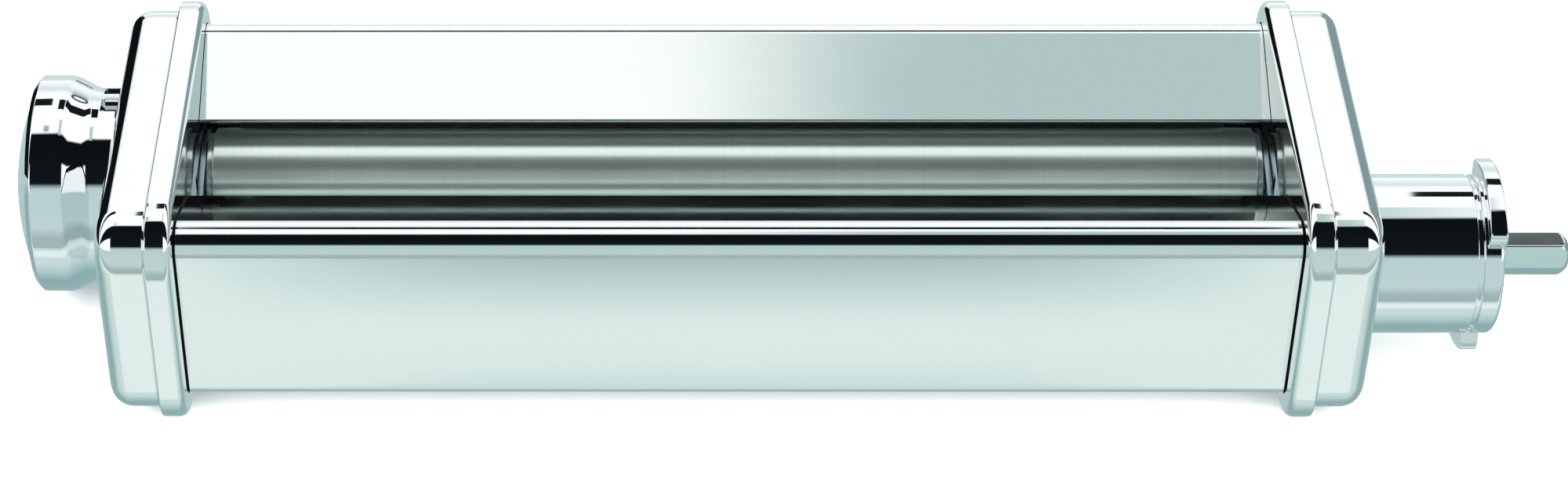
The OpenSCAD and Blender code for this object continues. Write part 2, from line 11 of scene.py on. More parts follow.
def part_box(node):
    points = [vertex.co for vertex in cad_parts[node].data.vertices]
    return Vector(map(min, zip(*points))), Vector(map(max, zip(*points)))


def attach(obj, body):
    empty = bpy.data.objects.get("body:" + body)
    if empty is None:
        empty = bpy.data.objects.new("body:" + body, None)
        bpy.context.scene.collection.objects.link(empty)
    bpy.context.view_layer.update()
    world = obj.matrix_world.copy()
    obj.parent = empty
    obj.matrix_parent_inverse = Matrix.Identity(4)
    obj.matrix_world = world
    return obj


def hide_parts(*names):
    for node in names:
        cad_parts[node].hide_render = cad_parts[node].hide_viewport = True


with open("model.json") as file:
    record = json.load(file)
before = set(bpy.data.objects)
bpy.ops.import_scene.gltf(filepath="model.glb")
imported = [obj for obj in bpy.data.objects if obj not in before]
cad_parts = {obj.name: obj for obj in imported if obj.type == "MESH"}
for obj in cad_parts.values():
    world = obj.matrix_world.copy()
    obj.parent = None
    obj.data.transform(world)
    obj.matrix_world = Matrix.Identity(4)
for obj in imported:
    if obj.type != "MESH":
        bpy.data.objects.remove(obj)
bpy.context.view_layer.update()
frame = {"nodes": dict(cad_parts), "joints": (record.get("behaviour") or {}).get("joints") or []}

# ---- Side frames ---------------------------------------------------------------------------
# Two stainless plates that everything else hangs between. Each is blanked, its inner edge is
# rounded over and both faces are mirror polished; grooves in the inner face hold the panels.

MM = 0.001
MIDDLE = np.array(next(j for j in frame["joints"] if j["name"] == "drive_spin")["pos_m"]) / MM


def box_mm(node):
    """Lowest and highest corner of a CAD node at rest, in millimetres."""
    low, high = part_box(node)
    return np.array(low) / MM, np.array(high) / MM


def skin(points, wrap_u=False, wrap_v=False):
    """Quads over a grid of points, P(u, v); a wrapped direction joins its last row to its first."""
    rows, columns = points.shape[:2]
    index = np.arange(rows * columns).reshape(rows, columns)
    u = np.arange(rows if wrap_u else rows - 1)
    v = np.arange(columns if wrap_v else columns - 1)
    corner = index[np.ix_(u, v)], index[np.ix_((u + 1) % rows, v)]
    far = index[np.ix_((u + 1) % rows, (v + 1) % columns)], index[np.ix_(u, (v + 1) % columns)]
    faces = np.stack([corner[0], corner[1], far[0], far[1]], -1).reshape(-1, 4)
    return points.reshape(-1, 3), faces.tolist()


def lid(x, loops):
    """Flat face at one x, inside the first loop of (y, z) points and outside the others."""
    flat = np.concatenate(loops)
    triangles = tessellate_polygon([[Vector((p[0], p[1], 0)) for p in loop] for loop in loops])
    return np.column_stack([np.full(len(flat), x), flat]), [list(t) for t in triangles]


def wall(stations, loops):
    """Wall through a stack of matching loops, each lifted to its own x."""
    stack = [np.column_stack([np.full(len(p), x), p]) for x, p in zip(stations, loops)]
    return skin(np.stack(stack), wrap_v=True)


def piece(name, parts, body, material, node=None, more=(), second=None):
    """Joins parts in millimetres into one closed mesh, smooth but for its sharp edges.

    more are further parts of the same mesh that get the second material.
    """
    vertices, faces = [], []
    first_faces = sum(len(polygons) for points, polygons in parts)
    for points, polygons in [*parts, *more]:
        start = sum(len(v) for v in vertices)
        vertices.append(np.asarray(points) * MM)
        faces += [[start + i for i in polygon] for polygon in polygons]
    mesh = bpy.data.meshes.new(name)
    mesh.from_pydata(np.concatenate(vertices).tolist(), [], faces)
    mesh.polygons.foreach_set("material_index", np.arange(len(faces)) >= first_faces)
    work = bmesh.new()
    work.from_mesh(mesh)
    bmesh.ops.remove_doubles(work, verts=work.verts, dist=1e-6)
    bmesh.ops.dissolve_degenerate(work, edges=work.edges, dist=1e-7)
    bmesh.ops.recalc_face_normals(work, faces=work.faces)
    work.to_mesh(mesh)
    work.free()
    mesh.shade_smooth()
    mesh.set_sharp_from_angle(angle=math.radians(40))
    made = bpy.data.objects.new(name, mesh)
    bpy.context.scene.collection.objects.link(made)
    weighted = made.modifiers.new("face_weighted_shading", "WEIGHTED_NORMAL")
    weighted.keep_sharp = True
    made.data.materials.append(material)
    if second:
        made.data.materials.append(second)
    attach(made, body)
    if node:
        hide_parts(node)
    return made


def colour(text):
    """Linear RGBA of an sRGB hex colour."""
    s = np.array([int(text[i:i + 2], 16) for i in (1, 3, 5)]) / 255
    return (*np.where(s <= 0.04045, s / 12.92, ((s + 0.055) / 1.055) ** 2.4), 1)


def add(tree, kind, links=None, **settings):
    """Adds one shader node; links maps its inputs to nodes' outputs, settings set the rest."""
    made = tree.nodes.new("ShaderNode" + kind)
    for key, value in settings.items():
        if key in made.inputs:
            made.inputs[key].default_value = value
        else:
            setattr(made, key, value)
    for key, source in (links or {}).items():
        tree.links.new(source, made.inputs[key])
    return made


def metal(name, tint, rough, grain, scratch, smear=0.0, wear=0.02):
    """A metal whose grain is noise stretched along its polishing direction.

    grain is how many grain lines there are per metre along X, Y and Z, scratch how deep they
    read in millimetres, smear how far the roughness wanders and wear how far the colour does.
    """
    made = bpy.data.materials.new(name)
    made.use_nodes = True
    tree = made.node_tree
    shader = tree.nodes["Principled BSDF"]
    shader.inputs["Metallic"].default_value = 1
    place = add(tree, "TexCoord").outputs["Object"]
    stretch = add(tree, "Mapping", {"Vector": place}, Scale=grain)
    lines = add(tree, "TexNoise", {"Vector": stretch.outputs[0]}, Scale=1.0, Detail=4.0)
    cloud = add(tree, "TexNoise", {"Vector": place}, Scale=45.0, Detail=3.0)
    rub = add(tree, "MapRange", {"Value": cloud.outputs["Fac"]})
    rub.inputs["From Min"].default_value = 0.3
    rub.inputs["From Max"].default_value = 0.7
    rub.inputs["To Min"].default_value = rough - smear
    rub.inputs["To Max"].default_value = rough + smear
    shade = add(tree, "Mix", data_type="RGBA")
    tree.links.new(lines.outputs["Fac"], shade.inputs["Factor"])
    shade.inputs["A"].default_value = [c * (1 - wear) for c in colour(tint)[:3]] + [1]
    shade.inputs["B"].default_value = [min(1, c * (1 + wear)) for c in colour(tint)[:3]] + [1]
    bump = add(tree, "Bump", {"Height": lines.outputs["Fac"]}, Strength=1.0, Distance=scratch * MM)
    tree.links.new(rub.outputs["Result"], shader.inputs["Roughness"])
    tree.links.new(shade.outputs["Result"], shader.inputs["Base Color"])
    tree.links.new(bump.outputs["Normal"], shader.inputs["Normal"])
    return made


def rounded_outline(width, height, corner, steps=14):
    """Rounded rectangle about the side frame's middle as (y, z) points, and its outward normals."""
    turn = np.linspace(0, 0.5 * math.pi, steps)
    angle = np.concatenate([turn + k * 0.5 * math.pi for k in range(4)])
    normal = np.stack([np.cos(angle), np.sin(angle)], 1)
    signs = np.repeat([[1, 1], [-1, 1], [-1, -1], [1, -1]], steps, 0)
    middle = signs * [width / 2 - corner, height / 2 - corner] + [0, frame_height / 2]
    return middle + corner * normal, normal


def edge_round(x, inset, radius, towards, steps=8):
    """Stations (x, inset) of a quarter round that ends flush with x, turning in from the rim."""
    turn = np.linspace(0, 0.5 * math.pi, steps)
    return np.column_stack([
        x - towards * radius * (1 - np.sin(turn)), inset + radius * (1 - np.cos(turn))
    ])


def circle(y, z, radius, steps=64):
    """Circle of (y, z) points."""
    turn = np.linspace(0, 2 * math.pi, steps, endpoint=False)
    return np.column_stack([y + radius * np.cos(turn), z + radius * np.sin(turn)])


def arc(y, z, radius, start, end, steps):
    """Arc of (y, z) points from one angle to another, in degrees."""
    turn = np.radians(np.linspace(start, end, steps))
    return np.column_stack([y + radius * np.cos(turn), z + radius * np.sin(turn)])


def ribbon(path, thick):
    """Closed outline of a strip of sheet whose middle line is path, with rounded ends."""
    along = np.gradient(path, axis=0)
    along /= np.linalg.norm(along, axis=1)[:, None]
    side = np.column_stack([-along[:, 1], along[:, 0]]) * thick / 2
    nose = np.array([[0.8, 0.55], [1.0, 0.0], [0.8, -0.55]])
    tip = path[-1] + nose[:, :1] * along[-1] * thick / 3 + nose[:, 1:] * side[-1]
    tail = path[0] - nose[:, :1] * along[0] * thick / 3 - nose[:, 1:] * side[0]
    return np.concatenate([path + side, tip, (path - side)[::-1], tail])


frame_low, frame_high = box_mm("right_side_frame")
frame_height = frame_high[2]
frame_depth = frame_high[1] - frame_low[1]
inner_x = frame_low[0] - MIDDLE[0]
outer_x = frame_high[0] - MIDDLE[0]
FRAME_CORNER = 7.5
FRAME_ROUND = 1.2
EDGE_BREAK = 0.25

panel_low, panel_high = box_mm("rear_panel")
PANEL_HALF = panel_high[1]
PANEL_TOP = panel_high[2]
PANEL_BASE = panel_low[2]
SHEET = 0.8
FLANGE = 6.5
FOOT_BEND = 1.6
# Where each slope starts, where its edge is, the edge's height, the top bend's outer radius, and
# the middle radius of the crease between the flat top and the slope.
FRONT_FOLD = (21.4, 9.1, 26.7, 3.0, 1.5)
REAR_FOLD = (22.4, 8.25, 26.68, 2.0, 2.0)


def panel_line(fold, bow=0.0):
    """Middle line of a panel's sheet, from its bottom flange over the top bend to its inner edge.

    bow is how far the middle of the upright face bellies outwards, as half a sine wave.
    """
    start, edge, edge_z, bend, crease = fold
    half = SHEET / 2
    slope = math.atan2(PANEL_TOP - edge_z, start - edge)
    flange_end = [[PANEL_HALF - FLANGE, PANEL_BASE + half]]
    foot = arc(PANEL_HALF - FOOT_BEND, PANEL_BASE + FOOT_BEND, FOOT_BEND - half, -90, 0, 10)
    face_z = np.linspace(PANEL_BASE + FOOT_BEND, PANEL_TOP - bend, 26)
    swell = bow * np.sin(np.linspace(0, math.pi, 26))
    face = np.column_stack([PANEL_HALF - half + swell, face_z])[1:-1]
    top = arc(PANEL_HALF - bend, PANEL_TOP - bend, bend - half, 0, 90, 16)
    reach = crease * math.tan(slope / 2)
    turn_z = PANEL_TOP - half - crease
    turn = arc(start - reach, turn_z, crease, 90, 90 + math.degrees(slope), 8)
    run = np.linspace(turn[-1], [edge, edge_z - half], 14)[1:]
    return np.concatenate([flange_end, foot, face, top, turn, run])


mirror_steel = metal(
    "mirror_polished_stainless", "#e9edec", 0.045, (260.0, 260.0, 260.0), 0.0006, 0.015, 0.01
)
# Painted shade: dark steel on the groove walls and floors and on the panels' cut ends, standing in
# for the shade inside the seams.
painted_groove_shade = metal("painted_groove_shade_steel", "#1b1f22", 0.5, (900.0, 900.0, 900.0), 0.002, 0.05, 0.1)
# Where the three axes along X lie, as (y, z): the driven roller, the rear roller and the knob.
joint_at = {j["name"]: np.array(j["pos_m"]) / MM for j in frame["joints"] if "pos_m" in j}
DRIVE = joint_at["drive_spin"][1:]
REAR = joint_at["rear_roller_spin"][1:]
SHAFT = joint_at["knob_turn"][1:]
BUSH_R = 6.0
SLOT_HALF = 6.45
SLOT_TRAVEL = 1.8
GROOVE = 0.6
GROOVE_PLAY = 0.5

for name, side in (("left_side_frame", -1), ("right_side_frame", 1)):
    outline, normal = rounded_outline(frame_depth, frame_height, FRAME_CORNER)
    stations = np.concatenate([
        edge_round(inner_x, 0, FRAME_ROUND, -1)[::-1], edge_round(outer_x, 0, EDGE_BREAK, 1, 4)
    ])
    stations[:, 0] = MIDDLE[0] + side * stations[:, 0]
    loops = [outline - inset * normal for inset in stations[:, 1]]
    slot_low = [REAR[0] - SLOT_HALF - SLOT_TRAVEL, REAR[1] - SLOT_HALF]
    slot_high = [REAR[0] + SLOT_HALF, REAR[1] + SLOT_HALF]
    slot = np.array([
        slot_low, [slot_high[0], slot_low[1]], slot_high, [slot_low[0], slot_high[1]]
    ])
    bore = circle(*DRIVE, BUSH_R)
    holes = [bore, slot]
    grooves = [ribbon(panel_line(REAR_FOLD), SHEET + GROOVE_PLAY)]
    grooves.append(ribbon(panel_line(FRONT_FOLD), SHEET + GROOVE_PLAY) * [-1, 1])
    face_x = stations[0, 0]
    back_x = stations[-1, 0]
    floor_x = face_x + side * GROOVE
    parts = [wall(stations[:, 0], loops)]
    parts.append(lid(face_x, [loops[0], *holes, *grooves]))
    parts.append(lid(back_x, [loops[-1], *holes]))
    parts += [wall([face_x, back_x], [hole, hole]) for hole in holes]
    # The groove walls and floors get the painted groove shade, as the shade inside the grooves.
    deep = [wall([face_x, floor_x], [groove, groove]) for groove in grooves]
    deep += [lid(floor_x, [groove]) for groove in grooves]
    piece(name + "_plate", parts, "housing", mirror_steel, name, deep, painted_groove_shade)

# ---- Covers --------------------------------------------------------------------------------
# A drawn steel cover closes each end over the cams and gears. It is polished with the side
# frame, and a fine parting line shows where the two meet.

COVER_INSET = 1.4
COVER_CORNER = 6.1
COVER_ROUND = 3.0
COVER_WALL = 1.5
cover_x = box_mm("right_cover")[1][0] - MIDDLE[0]
SHAFT_HOLE = {"left_cover": (SHAFT, 4.0), "right_cover": (DRIVE, 6.5)}

for name, side in (("left_cover", -1), ("right_cover", 1)):
    outline, normal = rounded_outline(
        frame_depth - 2 * COVER_INSET, frame_height - 2 * COVER_INSET, COVER_CORNER, 20
    )
    stations = np.concatenate([
        [[outer_x, COVER_WALL], [outer_x, EDGE_BREAK]],
        edge_round(outer_x + EDGE_BREAK, 0, EDGE_BREAK, -1, 4)[::-1][1:],
        edge_round(cover_x, 0, COVER_ROUND, 1, 14),
    ])
    stations[:, 0] = MIDDLE[0] + side * stations[:, 0]
    loops = [outline - inset * normal for inset in stations[:, 1]]
    (hole_y, hole_z), hole_r = SHAFT_HOLE[name]
    hole = circle(hole_y, hole_z, hole_r)
    inside_x = MIDDLE[0] + side * (cover_x - COVER_WALL)
    parts = [wall(stations[:, 0], loops)]
    parts.append(wall([stations[0, 0], inside_x], [loops[0], loops[0]]))
    parts.append(lid(stations[-1, 0], [loops[-1], hole]))
    parts.append(lid(inside_x, [loops[0], hole]))
    parts.append(wall([inside_x, stations[-1, 0]], [hole, hole]))
    piece(name + "_shell", parts, "housing", mirror_steel, name)

# ---- Panels --------------------------------------------------------------------------------
# Front and rear panels folded from 0.8 mm stainless sheet, polished before folding. They form
# the hopper above and leave the bottom open; folding leaves the tall faces faintly bellied, and
# the cut ends are painted dark as the shade in the seams beside the grooves that hold them.

PANEL_BOW = 0.35
panel_steel = metal(
    "polished_stainless_sheet", "#e6ebea", 0.075, (9.0, 2200.0, 160.0), 0.0005, 0.02, 0.012
)
ends = (panel_low[0], panel_high[0])
# Each panel's fold, the way it faces and how much of its cut end is painted dark as seam shade
# outside the groove.
PANELS = {"front_panel": (FRONT_FOLD, -1, 0.22), "rear_panel": (REAR_FOLD, 1, 0.07)}

for name, (fold, turned_round, dark) in PANELS.items():
    clean = np.linspace(ends[0] + GROOVE + dark, ends[1] - GROOVE - dark, 49)
    run_x = np.concatenate([ends[:1], clean, ends[1:]])
    rows = []
    for x in run_x:
        swell = 1 - abs((x - MIDDLE[0]) / (ends[1] - MIDDLE[0])) ** 4
        section = ribbon(panel_line(fold, PANEL_BOW * swell), SHEET)
        rows.append(np.column_stack([np.full(len(section), x), section * [turned_round, 1]]))
    rows = np.stack(rows)
    # The cut ends, out to that width, get the dark material as painted shade of the seam.
    cut_ends = [skin(rows[:2], wrap_v=True), skin(rows[-2:], wrap_v=True)]
    cut_ends += [lid(row[0, 0], [row[:, 1:]]) for row in (rows[0], rows[-1])]
    parts = [skin(rows[1:-1], wrap_v=True)]
    piece(
        name + "_sheet", parts, "housing", panel_steel, name, cut_ends, painted_groove_shade
    )

# ---- End guards ----------------------------------------------------------------------------
# Thin pressed plates behind the roller ends that keep dough out of the bearings. They are
# left as they come from the press: dull, blue-grey and faintly mottled.

guard_steel = metal(
    "pressed_guard_steel", "#8fa3ac", 0.22, (900.0, 900.0, 900.0), 0.004, 0.06, 0.08
)


def finish_cad(nodes, material):
    """Gives CAD nodes whose shape is already right their material."""
    for node in nodes:
        slots = frame["nodes"][node].data.materials
        slots.clear()
        slots.append(material)


finish_cad(["left_end_guard", "right_end_guard"], guard_steel)

# ---- Rollers -------------------------------------------------------------------------------
# Two steel rollers ground between centres, so fine marks run round them and show as pale and
# dark bands along their length. Each end steps down to a shoulder and a journal.

roller_steel = metal(
    "centre_ground_roller_steel", "#dbe8e5", 0.33, (1500.0, 12.0, 12.0), 0.0003, 0.02, 0.06
)
tree = roller_steel.node_tree
along = add(tree, "CombineXYZ", X=1.0, Y=0.0, Z=0.0)
tree.links.new(along.outputs[0], tree.nodes["Principled BSDF"].inputs["Tangent"])
tree.nodes["Principled BSDF"].inputs["Anisotropic"].default_value = 0.85
tree.nodes["Principled BSDF"].inputs["Metallic"].default_value = 0.95


def eased(corners, steps=5):
    """Profile of (x, r) points whose corners, given as (x, r, radius), are rounded off."""
    points = []
    count = len(corners)
    for i, (x, r, radius) in enumerate(corners):
        here = np.array([x, r], float)
        if radius == 0:
            points.append(here)
            continue
        back = np.array(corners[i - 1][:2]) - here
        ahead = np.array(corners[(i + 1) % count][:2]) - here
        back /= np.linalg.norm(back)
        ahead /= np.linalg.norm(ahead)
        half = math.acos(np.clip(back @ ahead, -1, 1)) / 2
        centre = here + (back + ahead) / np.linalg.norm(back + ahead) * radius / math.sin(half)
        first = here + back * radius / math.tan(half) - centre
        last = here + ahead * radius / math.tan(half) - centre
        share = np.linspace(0, 1, steps)[:, None]
        spread = math.pi - 2 * half
        points += list(centre + (
            np.sin((1 - share) * spread) * first + np.sin(share * spread) * last
        ) / math.sin(spread))
    return np.array(points)


def turned(profile, axis, turns=96, start=0, end=360):
    """A closed (x, r) profile spun about an axis along X; part of a turn gets flat end faces."""
    whole = end - start == 360
    angle = np.radians(np.linspace(start, end, turns, endpoint=not whole))
    x = np.broadcast_to(profile[:, 0], (len(angle), len(profile)))
    y = axis[0] + np.cos(angle)[:, None] * profile[:, 1]
    z = axis[1] + np.sin(angle)[:, None] * profile[:, 1]
    grid = np.stack([x, y, z], -1)
    parts = [skin(grid, wrap_u=whole, wrap_v=True)]
    if not whole:
        flat = tessellate_polygon([[Vector((*p, 0)) for p in profile]])
        parts += [(grid[row], [list(t) for t in flat]) for row in (0, -1)]
    return parts


ROLLER_R = 7.2
SHOULDER_R = 6.5
BODY = 73.2
SHOULDER = 74.0
GEAR_END = 81.7


def roller_profile(left, journal, bore):
    """Half section of a roller, symmetrical but for its longer journal at the gear end."""
    m = MIDDLE[0]
    inner = [(m + GEAR_END, bore, 0), (m - left, bore, 0)]
    outer = [
        (m - left, journal, 0.2), (m - SHOULDER, journal, 0), (m - SHOULDER, SHOULDER_R, 0.15),
        (m - BODY, SHOULDER_R, 0), (m - BODY, ROLLER_R, 0.3), (m + BODY, ROLLER_R, 0.3),
        (m + BODY, SHOULDER_R, 0), (m + SHOULDER, SHOULDER_R, 0.15), (m + SHOULDER, journal, 0),
        (m + GEAR_END, journal, 0.2),
    ]
    return eased(inner + outer)


front_roller = turned(roller_profile(left=78.8, journal=4.5, bore=3.5), DRIVE, 128)
back_roller = turned(roller_profile(left=78.9, journal=4.6, bore=3.4), REAR, 128)
piece(
    "front_roller", front_roller, "driven_roller", roller_steel, "drive_roller"
)
piece(
    "back_roller", back_roller, "adjustable_roller", roller_steel, "rear_roller"
)

# ---- Drive collar and shaft ----------------------------------------------------------------
# A turned collar, chromium plated, that locks into the mixer's hub with two quarter-turn lugs.
# The hexagonal end of the ground drive shaft stands out of its bush.

chrome = metal("chromium_plate", "#eaeef0", 0.03, (420.0, 420.0, 420.0), 0.0006, 0.012, 0.008)
shaft_steel = metal(
    "drawn_hexagon_steel", "#dde7e6", 0.12, (40.0, 1800.0, 1800.0), 0.002, 0.03, 0.04
)
COLLAR_LEN = 18.4
COLLAR_R = 11.0
BORE_R = 6.5
# How far behind the collar's end the groove round it starts.
GROOVE_BACK = 3.6
GROOVE_DEEP = 0.5
GROOVE_WIDE = 0.8
LUG_R = 13.3
LUG_WIDTH = 2.4
LUG_TURN = 90
LUG_ROOT = 0.8
LEAD_IN = 10
# Share of its height that a lug keeps at its very end, inside the collar.
LEAST_LUG = 0.04
# How far each lug's outer face is behind the collar's end, and the angle where the lug starts.
LUGS = [(0.1, 50), (1.6, 222)]
collar_x = cover_x + COLLAR_LEN
GROOVE_X = collar_x - GROOVE_BACK
base = MIDDLE[0]
collar = eased([
    (base + cover_x, BORE_R, 0), (base + cover_x, COLLAR_R, 0.1),
    (base + GROOVE_X, COLLAR_R, 0.12), (base + GROOVE_X, COLLAR_R - GROOVE_DEEP, 0.1),
    (base + GROOVE_X + GROOVE_WIDE, COLLAR_R - GROOVE_DEEP, 0.1),
    (base + GROOVE_X + GROOVE_WIDE, COLLAR_R, 0.12),
    (base + collar_x, COLLAR_R, 0.7), (base + collar_x, BORE_R, 0.3),
])


def lug(back, start):
    """Quarter ring on the collar, R(a) rising in half a cosine over the lead-in at either end."""
    outer = base + collar_x - back
    inner = outer - LUG_WIDTH
    root = COLLAR_R - LUG_ROOT
    profile = eased([(inner, root, 0), (inner, LUG_R, 0.3), (outer, LUG_R, 0.3), (outer, root, 0)])
    angle = np.linspace(0, LUG_TURN, 61)
    lead = np.clip(np.minimum(angle, LUG_TURN - angle) / LEAD_IN, 0, 1)
    height = LEAST_LUG + (1 - LEAST_LUG) * (0.5 - 0.5 * np.cos(math.pi * lead))
    r = root + (profile[:, 1] - root) * height[:, None]
    turn = np.radians(angle + start)[:, None]
    x = np.broadcast_to(profile[:, 0], r.shape)
    grid = np.stack([x, DRIVE[0] + np.cos(turn) * r, DRIVE[1] + np.sin(turn) * r], -1)
    flat = [list(t) for t in tessellate_polygon([[Vector((*p, 0)) for p in profile]])]
    return [skin(grid, wrap_v=True), (grid[0], flat), (grid[-1], flat)]


collar_parts = turned(collar, DRIVE, 128)
for back, start in LUGS:
    collar_parts += lug(back, start)
piece("bayonet_collar", collar_parts, "housing", chrome, "drive_collar")

# How far behind the collar's end the round shaft turns into the hexagon.
HEX_BACK = 2.4
HEX_FLATS = 5.3
HEX_TURN = 31
HEX_TIP = 1.2
HEX_TIP_R = 2.1
HEX_TIP_START_R = 3.3
HEX_CORNER = 0.985
hex_start = collar_x - HEX_BACK
hex_end = box_mm("drive_shaft")[1][0] - base
spin = np.radians(np.arange(0, 360, 2.0))
# Angle from the middle of the nearest flat; the corners are cut to a share of their sharp reach.
across = np.radians((np.degrees(spin) - HEX_TURN + 30) % 60 - 30)
hexagon = np.minimum(HEX_FLATS / 2 / np.cos(across), HEX_FLATS / math.sqrt(3) * HEX_CORNER)
tip = np.linspace(0, 1, 6)
hex_x = np.concatenate([[hex_start], hex_end - HEX_TIP * (1 - tip)])
chamfer = np.concatenate([[HEX_FLATS], HEX_TIP_START_R - (HEX_TIP_START_R - HEX_TIP_R) * tip])
radius = np.minimum(hexagon, chamfer[:, None])
grid = np.stack([
    np.broadcast_to(base + hex_x[:, None], radius.shape),
    DRIVE[0] + radius * np.cos(spin), DRIVE[1] + radius * np.sin(spin),
], -1)
SHAFT_R = 3.5
SHAFT_HIDDEN = 60
round_part = eased([
    (base + SHAFT_HIDDEN, 0, 0), (base + SHAFT_HIDDEN, SHAFT_R, 0),
    (base + hex_start, SHAFT_R, 0.25), (base + hex_start, 0, 0),
])
shaft_parts = turned(round_part, DRIVE, 64) + [skin(grid, wrap_v=True)]
shaft_parts += [lid(row[0, 0], [row[:, 1:]]) for row in (grid[0], grid[-1])]
piece("hexagon_shaft", shaft_parts, "driven_roller", shaft_steel, "drive_shaft")

# ---- Thickness knob ------------------------------------------------------------------------
# A chromium plated knob: a stem with a notch for each of ten settings, a cone that carries the
# numbers, a broad rim and a domed cap pressed into its face.

KNOB_GAP = 0.3
STEM_LEN = 3.7
CONE_LEN = 3.4
RIM_WIDE = 5.1
RIM_CHAMFER = 0.8
STEM_R = 13.5
STEM_ROUND = 0.25
KNOB_R = 15.3
stem_x = cover_x + KNOB_GAP
cone_x = stem_x + STEM_LEN
rim_x = cone_x + CONE_LEN
rim_end = rim_x + RIM_WIDE
SETTINGS = 10
STEP = 20
PIN_ANGLE = 87
PIN_ORBIT = 13.3
NOTCH_R = 1.45
NOTCH_DEEP = 2.5
BORE = 4.0
HUB_R = 2.3
SHOULDER_X = 90.5

knob_profile = eased([
    (stem_x, HUB_R, 0), (stem_x, STEM_R, STEM_ROUND), (cone_x, STEM_R, 4.0),
    (rim_x, KNOB_R, 3.5), (rim_end - RIM_CHAMFER, KNOB_R, 0.35),
    (rim_end, KNOB_R - RIM_CHAMFER, 0.3),
    (rim_end, BORE, 0), (SHOULDER_X, BORE, 0), (SHOULDER_X, HUB_R, 0),
], 7)
# Extra stations let the notches end in a wall part of the way along the stem.
stem_rows = np.array([
    [stem_x + d, STEM_R] for d in (0.4, 1.2, 2.0, NOTCH_DEEP, NOTCH_DEEP + 0.06, 3.0)
])
first = int(np.argmax(knob_profile[:, 0] > stem_x + STEM_ROUND + 0.01))
knob_profile = np.insert(knob_profile, first, stem_rows, 0)
spin = np.radians(np.arange(0, 360, 0.5))
away = np.full(spin.shape, np.inf)
for k in range(SETTINGS):
    gap = (spin - math.radians(PIN_ANGLE - k * STEP) + math.pi) % (2 * math.pi) - math.pi
    away = np.minimum(away, np.abs(gap))
reach = np.clip(PIN_ORBIT * np.sin(np.minimum(away, 0.5)), 0, NOTCH_R)
floor_r = PIN_ORBIT * np.cos(np.minimum(away, 0.5)) - np.sqrt(NOTCH_R ** 2 - reach ** 2)
floor_r = np.where(reach < NOTCH_R, floor_r, KNOB_R)
r = np.broadcast_to(knob_profile[:, 1], (len(spin), len(knob_profile))).copy()
notched = (knob_profile[:, 0] <= stem_x + NOTCH_DEEP + 0.01) & (knob_profile[:, 1] > HUB_R)
r[:, notched] = np.minimum(r[:, notched], floor_r[:, None])
grid = np.stack([
    np.broadcast_to(base - knob_profile[:, 0], r.shape),
    SHAFT[0] + r * np.cos(spin)[:, None], SHAFT[1] + r * np.sin(spin)[:, None],
], -1)
piece(
    "notched_knob", [skin(grid, wrap_u=True, wrap_v=True)], "thickness_knob",
    chrome, "knob"
)

CAP_R = 13.6
cap_high = base - box_mm("knob_cap")[0][0]
dome = cap_high - rim_end
ball = (CAP_R ** 2 + dome ** 2) / (2 * dome)
rise = np.linspace(0, math.asin((CAP_R - 0.5) / ball), 24)
cap_profile = np.column_stack([cap_high - ball * (1 - np.cos(rise)), ball * np.sin(rise)])
cap_profile = np.concatenate([
    cap_profile, [[rim_end + 0.1, CAP_R - 0.1], [rim_end, CAP_R - 0.2]],
    [[rim_end, BORE + 0.5], [rim_end + 1.5, BORE + 0.5], [rim_end + 1.5, 0]],
]) * [-1, 1] + [base, 0]
piece(
    "domed_cap", turned(cap_profile, SHAFT, 128), "thickness_knob", chrome,
    "knob_cap"
)

# The numbers are engraved and filled with black enamel, one by each notch.
enamel = bpy.data.materials.new("black_enamel_fill")
enamel.use_nodes = True
ink = enamel.node_tree
fill = ink.nodes["Principled BSDF"]
speck = add(ink, "TexNoise", {"Vector": add(ink, "TexCoord").outputs["Object"]}, Scale=2500.0)
depth = add(ink, "ValToRGB", {"Fac": speck.outputs["Fac"]})
depth.color_ramp.elements[0].color = colour("#0c0d0f")
depth.color_ramp.elements[1].color = colour("#24272a")
ink.links.new(depth.outputs["Color"], fill.inputs["Base Color"])
fill.inputs["Roughness"].default_value = 0.35

DIGIT_HIGH = 2.3
DIGIT_NARROWED = 0.85
DIGIT_STANDS = 0.01
digit_parts = []
for k in range(SETTINGS):
    curve = bpy.data.curves.new("number", "FONT")
    curve.body = str(k)
    curve.align_x = "CENTER"
    curve.align_y = "CENTER"
    curve.size = 1.0
    curve.extrude = 0.02
    curve.resolution_u = 3
    source = bpy.data.objects.new("number", curve)
    bpy.context.scene.collection.objects.link(source)
    bpy.context.view_layer.update()
    shape = source.evaluated_get(bpy.context.evaluated_depsgraph_get()).to_mesh()
    flat = np.array([v.co for v in shape.vertices])
    polygons = [list(p.vertices) for p in shape.polygons]
    source.to_mesh_clear()
    bpy.data.objects.remove(source)
    flat[:, :2] -= (flat[:, :2].max(0) + flat[:, :2].min(0)) / 2
    scale = DIGIT_HIGH / np.ptp(flat[:, 1])
    # A number stands with its foot towards the cover, wrapped round the cone.
    x = (cone_x + rim_x) / 2 + flat[:, 1] * scale
    r = STEM_R + (KNOB_R - STEM_R) * (x - cone_x) / CONE_LEN + DIGIT_STANDS + flat[:, 2]
    turn = math.radians(PIN_ANGLE - k * STEP) + flat[:, 0] * scale * DIGIT_NARROWED / STEM_R
    wrapped = np.column_stack([base - x, SHAFT[0] + r * np.cos(turn), SHAFT[1] + r * np.sin(turn)])
    digit_parts.append((wrapped, polygons))
piece("setting_numbers", digit_parts, "thickness_knob", enamel)

# ---- Works inside --------------------------------------------------------------------------
# What the covers and rollers hide: machined cams, gears and bearing blocks, ground shafts and
# tie rods, sintered bronze bushes, zinc plated screws, a wire spring and nylon scrapers.

